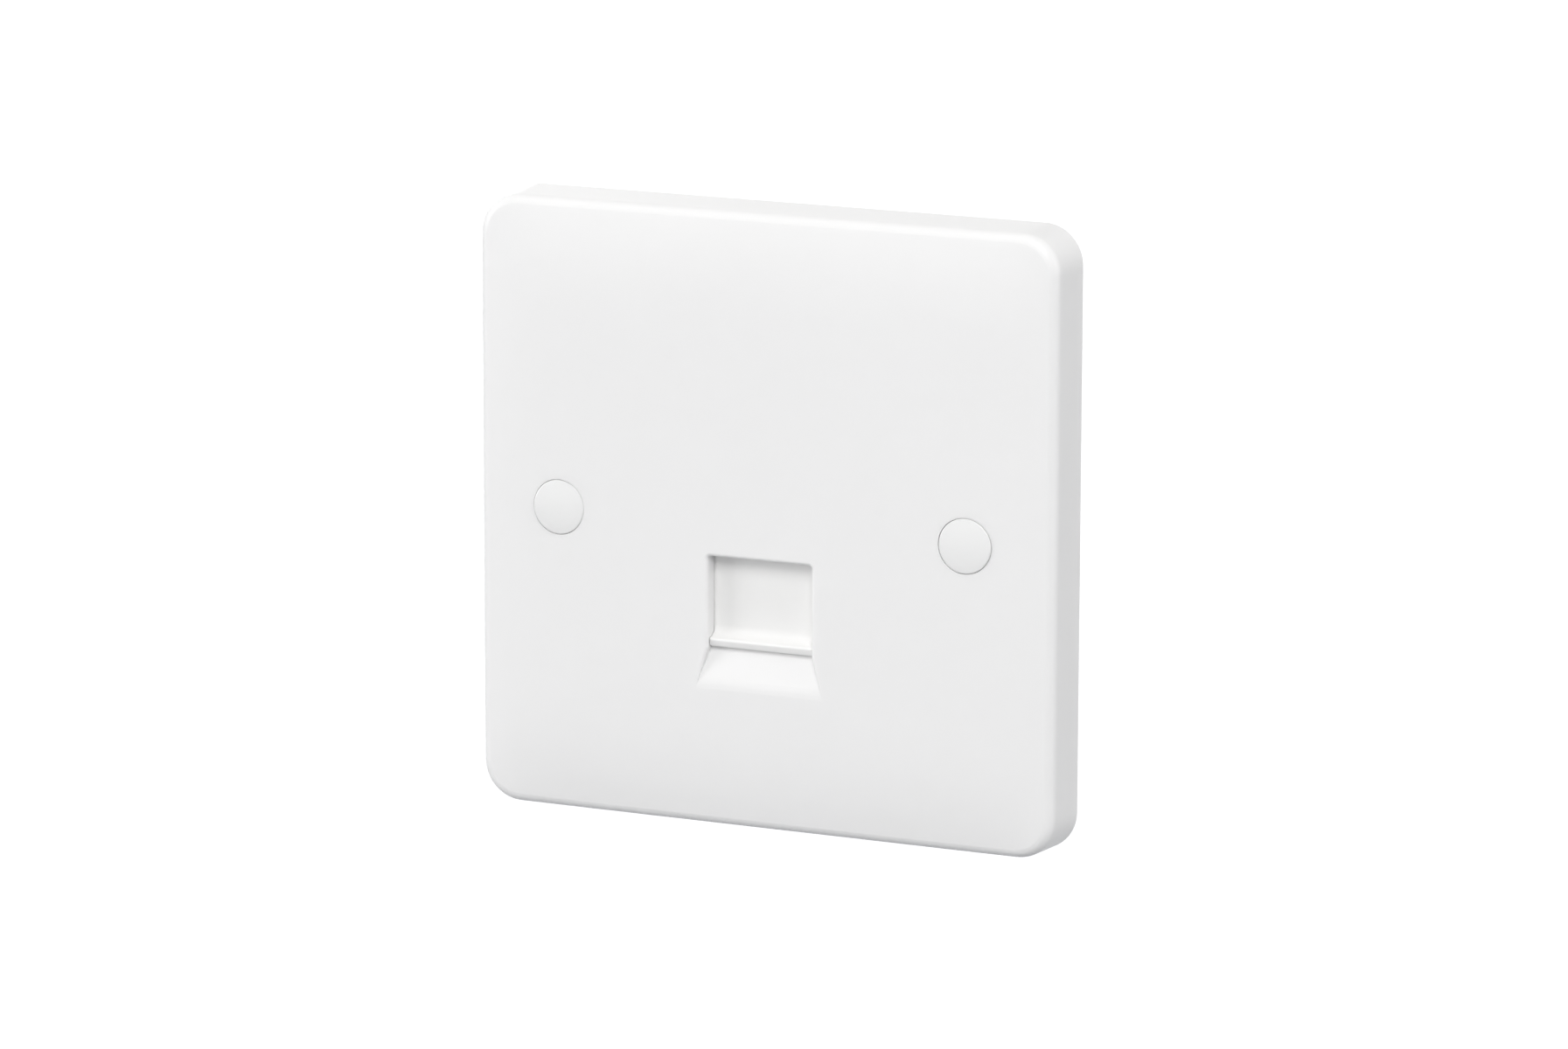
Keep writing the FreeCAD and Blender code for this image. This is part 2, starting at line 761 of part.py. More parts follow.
def terminal_block(side):
    """Moulded block with a pocket for each blade and a groove for each wire core."""
    x = side * block_x
    half_width = block_width / 2
    half_height = block_height / 2
    block = upright_prism(rectangle(x - half_width, x + half_width, jack_z - half_height,
                                    jack_z + half_height, block_round), board_back_y, block_back_y)
    cuts = []
    past_y = block_back_y + cut_margin
    pocket_half_x = blade_thickness / 2 + blade_gap
    pocket_half_z = blade_width / 2 + blade_gap
    tail_half_z = tail_width / 2 + tail_gap
    groove_half_z = core_groove_width / 2
    for number in range(terminals_per_block):
        z = terminal_z(number)
        cuts.append(upright_prism(rectangle(x - pocket_half_x, x + pocket_half_x, z - pocket_half_z,
                                            z + pocket_half_z), board_back_y + block_floor, past_y))
        cuts.append(upright_prism(rectangle(x - pocket_half_x, x + pocket_half_x, z - tail_half_z,
                                            z + tail_half_z), board_back_y - cut_margin, past_y))
        cuts.append(upright_prism(rectangle(x - block_width, x + block_width, z - groove_half_z,
                                            z + groove_half_z), block_back_y - core_groove_depth, past_y))
    return block.cut(cuts).removeSplitter()


def terminal(side, number):
    """Forked blade that cuts through a core's insulation, with its tail in the board."""
    seat_y = board_back_y + block_floor
    top_y = seat_y + blade_height
    slit_y = top_y - blade_slit_depth
    mouth_y = top_y - blade_mouth / 2
    profile = [
        (board_front_y - tail_reach, -tail_width / 2, 0),
        (seat_y, -tail_width / 2, 0),
        (seat_y, -blade_width / 2, 0),
        (top_y, -blade_width / 2, 0),
        (top_y, -blade_mouth / 2, 0),
        (mouth_y, -blade_slit / 2, 0),
        (slit_y, -blade_slit / 2, 0),
        (slit_y, blade_slit / 2, 0),
        (mouth_y, blade_slit / 2, 0),
        (top_y, blade_mouth / 2, 0),
        (top_y, blade_width / 2, 0),
        (seat_y, blade_width / 2, 0),
        (seat_y, tail_width / 2, 0),
        (board_front_y - tail_reach, tail_width / 2, 0),
    ]
    blade = sideways_prism(profile, -blade_thickness / 2, blade_thickness / 2)
    blade.translate(vec(side * block_x, 0, terminal_z(number)))
    return blade


def pieces():
    """Every separate piece by name."""
    named = {
        "front_plate": front_plate(),
        "shutter": shutter(),
        "shutter_spring": shutter_spring(),
        "jack_housing": jack_housing(),
        "contact_carrier": contact_carrier(),
        "circuit_board": circuit_board(),
    }
    for number in range(contact_count):
        named["contact_spring_%d" % (number + 1)] = contact_spring(number)
    for word, side in sides.items():
        named["screw_cap_" + word] = screw_cap(side)
        named["fixing_screw_" + word] = fixing_screw(side)
        named["module_screw_" + word] = module_screw(side)
        named["terminal_block_" + word] = terminal_block(side)
    for index in range(2 * terminals_per_block):
        side = -1 if index < terminals_per_block else 1
        named["terminal_%d" % (index + 1)] = terminal(side, index % terminals_per_block)
    return named


os.makedirs("parts", exist_ok=True)
for name, shape in pieces().items():
    shape.exportStep("parts/" + name + ".step")
    print(name, shape.isValid(), len(shape.Solids), round(shape.Volume, 2))
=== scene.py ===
import math

import bmesh
import bpy
from mathutils import Euler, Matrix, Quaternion, Vector


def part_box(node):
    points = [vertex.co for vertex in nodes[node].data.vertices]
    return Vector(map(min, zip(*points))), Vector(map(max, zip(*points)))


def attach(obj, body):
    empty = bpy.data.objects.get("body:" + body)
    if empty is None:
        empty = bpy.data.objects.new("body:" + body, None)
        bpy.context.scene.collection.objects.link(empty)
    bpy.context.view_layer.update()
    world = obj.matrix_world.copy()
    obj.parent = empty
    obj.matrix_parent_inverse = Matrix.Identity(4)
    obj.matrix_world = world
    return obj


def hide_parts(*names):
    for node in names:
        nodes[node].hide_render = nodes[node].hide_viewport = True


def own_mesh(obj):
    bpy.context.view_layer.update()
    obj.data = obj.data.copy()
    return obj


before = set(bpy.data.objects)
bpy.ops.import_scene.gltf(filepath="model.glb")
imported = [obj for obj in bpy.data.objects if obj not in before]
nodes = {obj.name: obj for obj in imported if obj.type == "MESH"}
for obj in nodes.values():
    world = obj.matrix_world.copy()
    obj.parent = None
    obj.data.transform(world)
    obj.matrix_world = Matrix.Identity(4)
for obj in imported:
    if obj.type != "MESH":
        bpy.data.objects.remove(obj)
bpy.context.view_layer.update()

# Front plate
# A one-gang plate moulded in white urea, with a soft gloss and a very faint orange peel.
# The two fixing screws hold it to the wall box.

cloud_low = 0.3
cloud_high = 0.7
streak_relief = 0.35
soak_share = 0.5
soak_depth = 0.0009


def add_node(tree, kind, **values):
    """A shader node, with its settings and its unlinked sockets filled in by name."""
    node = tree.nodes.new(kind)
    for key, value in values.items():
        if hasattr(node, key):
            setattr(node, key, value)
        else:
            node.inputs[key.replace("_", " ")].default_value = value
    return node


# The skin that plastics and metals share: slow cloudy streaks, and a fine peel or grain.
surface_skin = bpy.data.node_groups.new("surface_skin", "ShaderNodeTree")
for label, in_out in (("Flow", "INPUT"), ("Peel", "INPUT"), ("Cloud", "OUTPUT"), ("Relief", "OUTPUT")):
    surface_skin.interface.new_socket(label, in_out=in_out, socket_type="NodeSocketFloat")
skin_in = surface_skin.nodes.new("NodeGroupInput")
skin_out = surface_skin.nodes.new("NodeGroupOutput")
spot = add_node(surface_skin, "ShaderNodeTexCoord")
streaks = add_node(surface_skin, "ShaderNodeTexNoise", Detail=4.0, Roughness=0.55, Distortion=0.6)
peel = add_node(surface_skin, "ShaderNodeTexNoise", Detail=2.0, Roughness=0.5)
relief = add_node(surface_skin, "ShaderNodeMath", operation="MULTIPLY_ADD")
relief.inputs[1].default_value = streak_relief
link = surface_skin.links.new
link(spot.outputs["Object"], streaks.inputs["Vector"])
link(spot.outputs["Object"], peel.inputs["Vector"])
link(skin_in.outputs["Flow"], streaks.inputs["Scale"])
link(skin_in.outputs["Peel"], peel.inputs["Scale"])
link(streaks.outputs["Fac"], relief.inputs[0])
link(peel.outputs["Fac"], relief.inputs[2])
link(streaks.outputs["Fac"], skin_out.inputs["Cloud"])
link(relief.outputs["Value"], skin_out.inputs["Relief"])


def place_skin(tree, flow, peel):
    """One use of the skin in a material, at its own two scales."""
    skin = tree.nodes.new("ShaderNodeGroup")
    skin.node_tree = surface_skin
    skin.inputs["Flow"].default_value = flow
    skin.inputs["Peel"].default_value = peel
    return skin


def new_material(name):
    """An empty node material with its Principled shader."""
    material = bpy.data.materials.new(name)
    material.use_nodes = True
    return material, material.node_tree, material.node_tree.nodes["Principled BSDF"]


def two_shades(tree, deep, pale):
    """A blend from the deep shade to the pale one."""
    tint = add_node(tree, "ShaderNodeMix", data_type="RGBA")
    tint.inputs["A"].default_value = (*deep, 1)
    tint.inputs["B"].default_value = (*pale, 1)
    return tint


def skinned(name, pale, deep, roughness, flow, peel, bump):
    """A material with the skin: two close shades, gloss between two roughnesses, and a fine relief."""
    material, tree, shader = new_material(name)
    skin = place_skin(tree, flow, peel)
    tint = two_shades(tree, deep, pale)
    gloss = add_node(tree, "ShaderNodeMapRange", From_Min=cloud_low, From_Max=cloud_high,
                     To_Min=roughness[0], To_Max=roughness[1])
    bumps = add_node(tree, "ShaderNodeBump", Strength=1.0, Distance=bump)
    tree.links.new(skin.outputs["Cloud"], tint.inputs["Factor"])
    tree.links.new(tint.outputs["Result"], shader.inputs["Base Color"])
    tree.links.new(skin.outputs["Cloud"], gloss.inputs["Value"])
    tree.links.new(gloss.outputs["Result"], shader.inputs["Roughness"])
    tree.links.new(skin.outputs["Relief"], bumps.inputs["Height"])
    tree.links.new(bumps.outputs["Normal"], shader.inputs["Normal"])
    return material, shader


def moulded_plastic(name, pale, deep, roughness, flow, peel, bump, soak=soak_depth):
    """Plastic that part of the light soaks into, to a depth in metres, which is 0 in a thin film."""
    material, shader = skinned(name, pale, deep, roughness, flow, peel, bump)
    if soak > 0:
        shader.inputs["Subsurface Weight"].default_value = soak_share
        shader.inputs["Subsurface Radius"].default_value = (1.0, 1.0, 1.0)
        shader.inputs["Subsurface Scale"].default_value = soak
    return material


def finish_nodes(material, *names):
    """Gives CAD nodes their material."""
    for name in names:
        nodes[name].data.materials.clear()
        nodes[name].data.materials.append(material)


plate_plastic = moulded_plastic("plate_plastic", pale=(0.845, 0.842, 0.838), deep=(0.828, 0.825, 0.820),
                                roughness=(0.38, 0.46), flow=38.0, peel=210.0, bump=0.00004)
finish_nodes(plate_plastic, "front_plate")

# Ejector marks
# Faint rings in the plate's own plastic, on its inside,
# where the pins of the mould pushed it out.

pin_ring = [(0.00185, 0.0), (0.00190, 0.00005), (0.00198, 0.00005), (0.00203, 0.0)]
pin_ring_steps = 28
pin_places = [(-0.0212, 0.0150), (-0.0212, -0.0170), (0.0212, 0.0150), (0.0212, -0.0170),
              (-0.0120, 0.0188), (0.0, 0.0188), (0.0120, 0.0188)]
plate_inner_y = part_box("jack_housing")[0].y
weld_distance = 0.0000005


def turned(profile, place, steps, axis_sign=1):
    """Points and faces of a profile (radius, depth) turned about the depth axis through place."""
    x, y, z = place
    points = []
    faces = []
    for radius, depth in profile:
        for step in range(steps):
            angle = 2 * math.pi * step / steps
            points.append((x + radius * math.cos(angle), y + axis_sign * depth,
                           z + radius * math.sin(angle)))
    for ring in range(len(profile) - 1):
        for step in range(steps):
            after = (step + 1) % steps
            faces.append((ring * steps + step, ring * steps + after,
                          (ring + 1) * steps + after, (ring + 1) * steps + step))
    return points, faces


def joined(parts):
    """Several (points, faces) as one."""
    points = []
    faces = []
    for more_points, more_faces in parts:
        offset = len(points)
        points += more_points
        faces += [tuple(offset + index for index in face) for face in more_faces]
    return points, faces


def add_piece(name, shape, material, sharp_angle=40.0):
    """A piece that rides with the socket; faces that meet under the angle are shaded as one."""
    points, faces = shape
    mesh = bpy.data.meshes.new(name)
    mesh.from_pydata(points, [], faces)
    form = bmesh.new()
    form.from_mesh(mesh)
    bmesh.ops.remove_doubles(form, verts=form.verts, dist=weld_distance)
    bmesh.ops.recalc_face_normals(form, faces=form.faces)
    form.to_mesh(mesh)
    form.free()
    for face in mesh.polygons:
        face.use_smooth = True
    mesh.set_sharp_from_angle(angle=math.radians(sharp_angle))
    mesh.materials.append(material)
    piece = bpy.data.objects.new(name, mesh)
    bpy.context.scene.collection.objects.link(piece)
    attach(piece, "socket")
    return piece


pin_rings = [turned(pin_ring, (x, plate_inner_y, z), pin_ring_steps) for x, z in pin_places]
add_piece("ejector_marks", joined(pin_rings), plate_plastic)

# Jack housing
# One moulding in matt off-white plastic, with the shutter's channel in front and the plug's cavity behind.
# Two screws hold its ears to the plate's bosses, and its two melted pegs hold the circuit board.

housing_plastic = moulded_plastic("housing_plastic", pale=(0.79, 0.785, 0.765), deep=(0.755, 0.75, 0.73),
                                  roughness=(0.46, 0.58), flow=70.0, peel=900.0, bump=0.00005)
finish_nodes(housing_plastic, "jack_housing")

# Contact carrier
# The comb under the plug's cavity, which keeps the contact wires apart.
# It is moulded in a greyer, glass-filled plastic and pushed into the housing from behind.

carrier_plastic = moulded_plastic("carrier_plastic", pale=(0.66, 0.655, 0.63), deep=(0.60, 0.595, 0.57),
                                  roughness=(0.5, 0.64), flow=160.0, peel=1500.0, bump=0.00005)
finish_nodes(carrier_plastic, "contact_carrier")

# Contact wires
# Six wires of gold-flashed bronze in the carrier's slots, bent up into the plug's cavity.
# Their tails go through the board and are soldered behind it.

ways = range(1, 7)
grain_peel = 6


def bare_metal(name, pale, deep, roughness, grain, bump):
    """Plated or drawn metal with a fine grain and an uneven polish."""
    material, shader = skinned(name, pale, deep, roughness, grain, grain * grain_peel, bump)
    shader.inputs["Metallic"].default_value = 1.0
    return material


gold = bare_metal("contact_bronze", pale=(0.92, 0.70, 0.32), deep=(0.80, 0.56, 0.22),
                  roughness=(0.16, 0.28), grain=1100.0, bump=0.000003)
wire_names = ["contact_spring_%d" % way for way in ways]
finish_nodes(gold, *wire_names)

# Circuit board
# A board of woven glass laminate with green solder resist on both faces; its sawn edges show the pale glass.
# It sits on the back of the housing, on the two pegs.

resist_pale = (0.016, 0.135, 0.055)
resist_deep = (0.011, 0.105, 0.044)
resist_roughness = 0.3
glass_pale = (0.50, 0.46, 0.27)
glass_deep = (0.36, 0.33, 0.19)
sawn_roughness = 0.8
glass_scale = 1900.0
weave_scale = 0.55 * glass_scale
weave_bump = 0.000012

board_laminate, tree, shader = new_material("board_laminate")
spot = add_node(tree, "ShaderNodeTexCoord")
facing = add_node(tree, "ShaderNodeSeparateXYZ")
flatness = add_node(tree, "ShaderNodeMath", operation="ABSOLUTE")
on_face = add_node(tree, "ShaderNodeMapRange", From_Min=0.4, From_Max=0.6)
skin = place_skin(tree, flow=140.0, peel=2600.0)
resist = two_shades(tree, resist_deep, resist_pale)
layers = add_node(tree, "ShaderNodeTexWave", bands_direction="Y", Scale=glass_scale,
                  Distortion=2.5, Detail=1.0)
sawn = two_shades(tree, glass_pale, glass_deep)
cover = add_node(tree, "ShaderNodeMix", data_type="RGBA")
matt = add_node(tree, "ShaderNodeMapRange", From_Min=0.0, From_Max=1.0,
                To_Min=sawn_roughness, To_Max=resist_roughness)
warp = add_node(tree, "ShaderNodeTexWave", bands_direction="X", Scale=weave_scale, Distortion=0.4)
weft = add_node(tree, "ShaderNodeTexWave", bands_direction="Z", Scale=weave_scale, Distortion=0.4)
weave = add_node(tree, "ShaderNodeMath", operation="MULTIPLY")
bumps = add_node(tree, "ShaderNodeBump", Strength=1.0, Distance=weave_bump)
link = tree.links.new
link(spot.outputs["Normal"], facing.inputs["Vector"])
link(facing.outputs["Y"], flatness.inputs[0])
link(flatness.outputs["Value"], on_face.inputs["Value"])
link(skin.outputs["Cloud"], resist.inputs["Factor"])
link(spot.outputs["Object"], layers.inputs["Vector"])
link(layers.outputs["Fac"], sawn.inputs["Factor"])
link(on_face.outputs["Result"], cover.inputs["Factor"])
link(sawn.outputs["Result"], cover.inputs["A"])
link(resist.outputs["Result"], cover.inputs["B"])
link(cover.outputs["Result"], shader.inputs["Base Color"])
link(on_face.outputs["Result"], matt.inputs["Value"])
link(matt.outputs["Result"], shader.inputs["Roughness"])
link(spot.outputs["Object"], warp.inputs["Vector"])
link(spot.outputs["Object"], weft.inputs["Vector"])
link(warp.outputs["Fac"], weave.inputs[0])
link(weft.outputs["Fac"], weave.inputs[1])
link(weave.outputs["Value"], bumps.inputs["Height"])
link(bumps.outputs["Normal"], shader.inputs["Normal"])
finish_nodes(board_laminate, "circuit_board")

# Copper tracks
# Etched copper on the back of the board, which stands up a little under the resist.
# One track runs from each contact wire to its terminal.

track_width = 0.0007
track_height = 0.00004
track_turn = 0.0009
track_goals = (3, 2, 1, 4, 5, 6)
flat_share = 0.42
mitre_limit = 0.3

board_low, board_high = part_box("circuit_board")
board_front_y = board_low.y
board_back_y = board_high.y
track_resist = moulded_plastic("track_resist", pale=(0.040, 0.235, 0.085), deep=(0.032, 0.200, 0.072),
                               roughness=(0.28, 0.4), flow=200.0, peel=2600.0, bump=0.000006, soak=0)


def middle_of(name):
    """Middle of a CAD node's box."""
    low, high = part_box(name)
    return (low + high) / 2


def strip(path, width, height, y):
    """Raised band with sloped edges along a path (x, z), on a surface at depth y."""
    points = []
    faces = []
    for index, (x, z) in enumerate(path):
        before = Vector(path[max(index - 1, 0)])
        after = Vector(path[min(index + 1, len(path) - 1)])
        here = Vector((x, z))
        back = (here - before).normalized() if index > 0 else (after - here).normalized()
        ahead = (after - here).normalized() if index < len(path) - 1 else back
        along = (back + ahead).normalized()
        across = Vector((-along.y, along.x)) / max(along.dot(ahead), mitre_limit)
        for share, level in ((-0.5, 0), (-flat_share, height), (flat_share, height), (0.5, 0)):
            points.append((x + across.x * width * share, y + level, z + across.y * width * share))
    for index in range(len(path) - 1):
        for side in range(3):
            first = index * 4 + side
            faces.append((first, first + 1, first + 5, first + 4))
    faces.append((0, 1, 2, 3))
    last = 4 * (len(path) - 1)
    faces.append((last, last + 1, last + 2, last + 3))
    return points, faces


wire_low, wire_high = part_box(wire_names[0])
wire_z = wire_low.z + (wire_high.x - wire_low.x) / 2
wire_places = [middle_of(name).x for name in wire_names]
tracks = []
for wire_x, way in zip(wire_places, track_goals):
    goal = middle_of("terminal_%d" % way)
    side = math.copysign(1, goal.x)
    if abs(goal.z - wire_z) < 2 * track_turn:
        path = [(wire_x, wire_z), (wire_x + side * abs(goal.z - wire_z), goal.z), (goal.x, goal.z)]
    else:
        path = [(wire_x, wire_z), (wire_x, goal.z - track_turn), (wire_x + side * track_turn, goal.z),
                (goal.x, goal.z)]
    tracks.append(strip(path, track_width, track_height, board_back_y))
add_piece("copper_tracks", joined(tracks), track_resist)

# Printed outlines
# A frame of white ink round the foot of each terminal block,
# screen printed on the resist.

ink_width = 0.00018
ink_height = 0.000015
ink_gap = 0.00022

ink = moulded_plastic("printed_ink", pale=(0.80, 0.80, 0.78), deep=(0.70, 0.70, 0.68),
                      roughness=(0.5, 0.65), flow=700.0, peel=3000.0, bump=0.000004, soak=0)
outlines = []
for side in ("left", "right"):
    low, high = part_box("terminal_block_" + side)
    x0, x1, z0, z1 = low.x - ink_gap, high.x + ink_gap, low.z - ink_gap, high.z + ink_gap
    corners = [(x0, z0), (x1, z0), (x1, z1), (x0, z1)]
    for start, end in zip(corners, corners[1:] + corners[:1]):
        outlines.append(strip([start, end], ink_width, ink_height, board_back_y))
add_piece("printed_outlines", joined(outlines), ink)

# Solder joints
# A pad and a hollow cone of bright solder at each contact wire behind the board and each terminal in front.
# They hold the wires and the blades in the board.

pad_edge = 0.00004
pad_thickness = 0.00005
pad_margin = 0.00012
solder_foot = 0.00006
solder_tip = 0.00003
tip_share = 0.6
rise_steps = 8
hollow_power = 2.2
height_power = 1.3

solder = bare_metal("solder_tin", pale=(0.74, 0.745, 0.75), deep=(0.62, 0.625, 0.63),
                    roughness=(0.14, 0.34), grain=700.0, bump=0.00001)


def solder_cone(pad_radius, pin_radius, height):
    """Profile of a pad and the solder drawn up a pin from it."""
    pad = [(pad_radius, 0.0), (pad_radius - pad_edge, pad_thickness)]
    rise = []
    for step in range(rise_steps + 1):
        share = step / rise_steps
        radius = pin_radius + (pad_radius - pad_margin - pin_radius) * (1 - share) ** hollow_power
        rise.append((radius, solder_foot + (height - solder_foot) * share ** height_power))
    return pad + rise + [(pin_radius * tip_share, height + solder_tip)]


wire_cone = solder_cone(pad_radius=0.00068, pin_radius=0.00027, height=0.00085)
blade_cone = solder_cone(pad_radius=0.00105, pin_radius=0.00050, height=0.00062)
cones = [turned(wire_cone, (x, board_back_y, wire_z), steps=26) for x in wire_places]
for way in ways:
    goal = middle_of("terminal_%d" % way)
    cones.append(turned(blade_cone, (goal.x, board_front_y, goal.z), steps=30, axis_sign=-1))
add_piece("solder_joints", joined(cones), solder, sharp_angle=60.0)

# Terminal blocks
# Two matt off-white mouldings, each with three forked blades and the grooves for their wire cores.
# The blades' soldered tails hold them to the back of the board.

block_plastic = moulded_plastic("block_plastic", pale=(0.79, 0.785, 0.77), deep=(0.755, 0.75, 0.735),
                                roughness=(0.4, 0.52), flow=110.0, peel=900.0, bump=0.00004)
finish_nodes(block_plastic, "terminal_block_left", "terminal_block_right")

# Terminals
# Forked blades stamped from tinned bronze sheet, pressed into the blocks.
# Their tails are soldered in the board.

tinned_bronze = bare_metal("terminal_metal", pale=(0.78, 0.765, 0.735), deep=(0.66, 0.645, 0.615),
                           roughness=(0.22, 0.4), grain=500.0, bump=0.000008)
finish_nodes(tinned_bronze, *["terminal_%d" % way for way in ways])

# Shutter
# The sliding door behind the aperture, with the ledge that a plug pushes up. It is a satin moulding,
# a hair warmer than the plate, and slides in the housing's channel.

shutter_plastic = moulded_plastic("shutter_plastic", pale=(0.845, 0.842, 0.833), deep=(0.828, 0.824, 0.813),
                                  roughness=(0.34, 0.44), flow=90.0, peel=600.0, bump=0.00003)
finish_nodes(shutter_plastic, "shutter")

# Shutter spring
# A small compression spring of drawn wire in the housing's groove, between the shutter's pad and the
# groove's top. It is a copy of the CAD spring in steel, and rides with the socket.

spring_steel = bare_metal("spring_steel", pale=(0.62, 0.61, 0.59), deep=(0.48, 0.475, 0.465),
                          roughness=(0.22, 0.36), grain=900.0, bump=0.000004)
coil_mesh = nodes["shutter_spring"].data.copy()
coil_mesh.materials.clear()
coil_mesh.materials.append(spring_steel)
coil = bpy.data.objects.new("spring_coil", coil_mesh)
bpy.context.scene.collection.objects.link(coil)
low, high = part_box("shutter_spring")
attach(coil, "socket")
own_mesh(coil)
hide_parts("shutter_spring")

# Module screws
# Two self-tapping screws of steel plated in bright zinc,
# driven through the housing's ears into the plate's bosses.

zinc = bare_metal("screw_steel", pale=(0.64, 0.65, 0.65), deep=(0.48, 0.49, 0.50),
                  roughness=(0.24, 0.42), grain=450.0, bump=0.000006)
finish_nodes(zinc, "module_screw_left", "module_screw_right")

# Fixing screws
# Two M3.5 machine screws in the same zinc, with slotted heads, a plain neck and a rolled thread to the tip.
# They go through the plate's bosses into the lugs of the wall box.

thread_pitch = 0.0006
thread_radius = 0.00175
thread_root = 0.00140
thread_steps = 32
ridge_sink = 0.00003
ridge_half_root = 0.44 * thread_pitch
ridge_half_crest = 0.07 * thread_pitch
run_out_rate = 1.5
tip_lead = 0.0005
neck_radius = 0.0015
neck_cut_y = -0.0013
neck_slope = 0.0001
thread_start_y = -0.0010
tip_chamfer = 0.0003
shank_steps = 40


def kept_head(name):
    """The CAD screw's head and neck, cut off square in the neck."""
    form = bmesh.new()
    form.from_mesh(nodes[name].data)
    bmesh.ops.bisect_plane(form, geom=form.verts[:] + form.edges[:] + form.faces[:],
                           plane_co=(0, neck_cut_y, 0), plane_no=(0, 1, 0), clear_outer=True)
    form.verts.index_update()
    points = [tuple(vert.co) for vert in form.verts]
    faces = [tuple(vert.index for vert in face.verts) for face in form.faces]
    form.free()
    return points, faces


def thread(x, z, tip_y):
    """The thread's ridge, wound along the shank and run out at both ends."""
    sink = thread_root - ridge_sink
    first_y = thread_start_y + ridge_half_root
    turns = (tip_y - ridge_half_root - first_y) / thread_pitch
    count = int(turns * thread_steps)
    points = []
    faces = []
    for step in range(count + 1):
        angle = 2 * math.pi * step / thread_steps
        y = first_y + thread_pitch * step / thread_steps
        run_out = min(1, step / thread_steps * run_out_rate, (count - step) / thread_steps * run_out_rate)
        crest = min(sink + (thread_radius - sink) * run_out, thread_radius + tip_y - y - tip_lead)
        ridge = ((sink, -ridge_half_root), (crest, -ridge_half_crest),
                 (crest, ridge_half_crest), (sink, ridge_half_root))
        for radius, shift in ridge:
            points.append((x + radius * math.cos(angle), y + shift, z + radius * math.sin(angle)))
    for step in range(count):
        for side in range(4):
            first = step * 4
            after = (side + 1) % 4
            faces.append((first + side, first + after, first + 4 + after, first + 4 + side))
    last = 4 * count
    return points, faces + [(0, 1, 2, 3), (last, last + 1, last + 2, last + 3)]


for side in ("left", "right"):
    name = "fixing_screw_" + side
    low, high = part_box(name)
    screw_x = (low.x + high.x) / 2
    core = [(0.0, neck_cut_y), (neck_radius, neck_cut_y), (neck_radius, thread_start_y - neck_slope),
            (thread_root, thread_start_y), (thread_root, high.y - tip_chamfer),
            (thread_root - tip_chamfer, high.y), (0.0, high.y)]
    shank = turned(core, (screw_x, 0, 0), shank_steps)
    shape = joined([kept_head(name), shank, thread(screw_x, 0, high.y)])
    screw = add_piece("threaded_screw_" + side, shape, zinc, sharp_angle=30.0)
    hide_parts(name)

# Screw caps
# Two crowned covers in nearly the plate's own white, and a little glossier.
# They are pressed into the plate's pockets over the fixing screws.

cap_plastic = moulded_plastic("cap_plastic", pale=(0.838, 0.838, 0.831), deep=(0.820, 0.820, 0.812),
                              roughness=(0.32, 0.40), flow=90.0, peel=500.0, bump=0.00003)
finish_nodes(cap_plastic, "screw_cap_left", "screw_cap_right")

# Floor
# A plain pale floor, well below the socket.
# The camera, metal and glass see it white, and it lights the socket little from below.

floor_half = 6.0
floor_z = -0.125
floor_shade = (0.295, 0.3, 0.315)
floor_white = 0.8

floor_corners = [(x * floor_half, y * floor_half, floor_z) for x, y in ((-1, -1), (1, -1), (1, 1), (-1, 1))]
floor_mesh = bpy.data.meshes.new("floor")
floor_mesh.from_pydata(floor_corners, [], [(0, 1, 2, 3)])
floor = bpy.data.objects.new("floor", floor_mesh)
bpy.context.scene.collection.objects.link(floor)


def seen_directly(tree):
    """1 for camera, mirror and glass rays, 0 for the light that falls on things."""
    rays = tree.nodes.new("ShaderNodeLightPath")
    camera_or_mirror = add_node(tree, "ShaderNodeMath", operation="MAXIMUM")
    or_glass = add_node(tree, "ShaderNodeMath", operation="MAXIMUM")
    tree.links.new(rays.outputs["Is Camera Ray"], camera_or_mirror.inputs[0])
    tree.links.new(rays.outputs["Is Glossy Ray"], camera_or_mirror.inputs[1])
    tree.links.new(camera_or_mirror.outputs["Value"], or_glass.inputs[0])
    tree.links.new(rays.outputs["Is Transmission Ray"], or_glass.inputs[1])
    return or_glass.outputs["Value"]


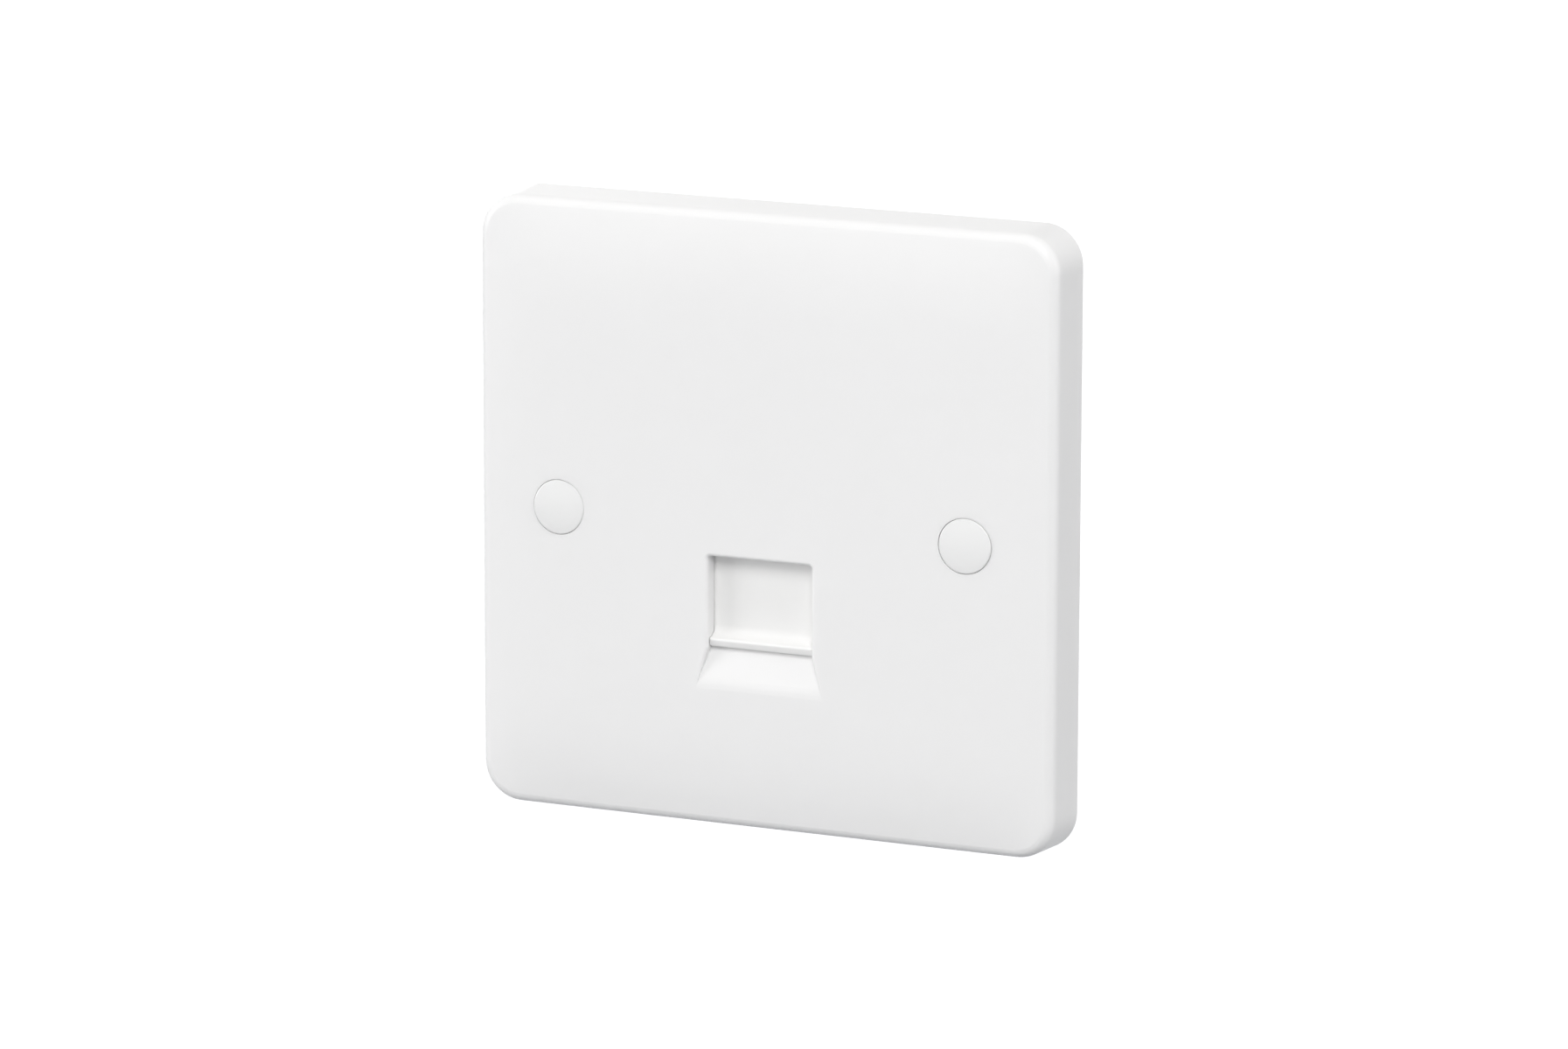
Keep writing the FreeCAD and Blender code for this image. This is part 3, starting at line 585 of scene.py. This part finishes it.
floor_paint, tree, shader = new_material("floor_paint")
shader.inputs["Base Color"].default_value = (*floor_shade, 1)
shader.inputs["Roughness"].default_value = 0.9
shader.inputs["Specular IOR Level"].default_value = 0.0
shader.inputs["Emission Color"].default_value = (1, 1, 1, 1)
whitened = add_node(tree, "ShaderNodeMath", operation="MULTIPLY")
whitened.inputs[1].default_value = floor_white
tree.links.new(seen_directly(tree), whitened.inputs[0])
tree.links.new(whitened.outputs["Value"], shader.inputs["Emission Strength"])
floor_mesh.materials.append(floor_paint)

# Light
# A plain white room with five soft boxes: one high in front, one at each side,
# and two small ones, straight ahead and behind.

sky_level = 0.48

world = bpy.data.worlds.new("studio")
bpy.context.scene.world = world
world.use_nodes = True
tree = world.node_tree
room = tree.nodes["Background"]
room.inputs["Color"].default_value = (1, 1, 1, 1)
level = add_node(tree, "ShaderNodeMapRange", From_Min=0.0, From_Max=1.0, To_Min=sky_level, To_Max=1.0)
tree.links.new(seen_directly(tree), level.inputs["Value"])
tree.links.new(level.outputs["Result"], room.inputs["Strength"])


def soft_box(name, place, size, power):
    """Square area lamp that faces the socket."""
    data = bpy.data.lights.new(name, "AREA")
    data.shape = "SQUARE"
    data.size = size
    data.energy = power
    box = bpy.data.objects.new(name, data)
    bpy.context.scene.collection.objects.link(box)
    box.location = place
    box.rotation_euler = (-Vector(place)).to_track_quat("-Z", "Y").to_euler()


soft_box("high_box", place=(0.52, -1.28, 1.16), size=0.8, power=17.1)
soft_box("left_box", place=(-1.6, -0.9, 0.15), size=0.8, power=13.9)
soft_box("right_box", place=(1.7, -0.15, 0.35), size=0.8, power=6.5)
soft_box("front_box", place=(-0.1, -1.9, 0.1), size=0.5, power=2.5)
soft_box("back_box", place=(-1.1, 1.25, 0.38), size=0.4, power=12.5)

# Camera
# It looks down a little on the socket from the front right,
# through a long lens at about a metre.

camera_place = (0.406325, -0.903697, 0.211182)
camera_azimuth = math.radians(24.240)
camera_elevation = math.radians(12.118)
camera_roll = math.radians(0.144)

lens = bpy.data.cameras.new("camera")
lens.sensor_width = 36.0
lens.lens = 170.50
camera = bpy.data.objects.new("camera", lens)
bpy.context.scene.collection.objects.link(camera)
camera.location = camera_place
aim = Euler((math.pi / 2 - camera_elevation, 0, camera_azimuth)).to_quaternion()
camera.rotation_euler = (aim @ Quaternion((0, 0, 1), camera_roll)).to_euler()
bpy.context.scene.camera = camera

bpy.context.scene.view_settings.view_transform = "Standard"
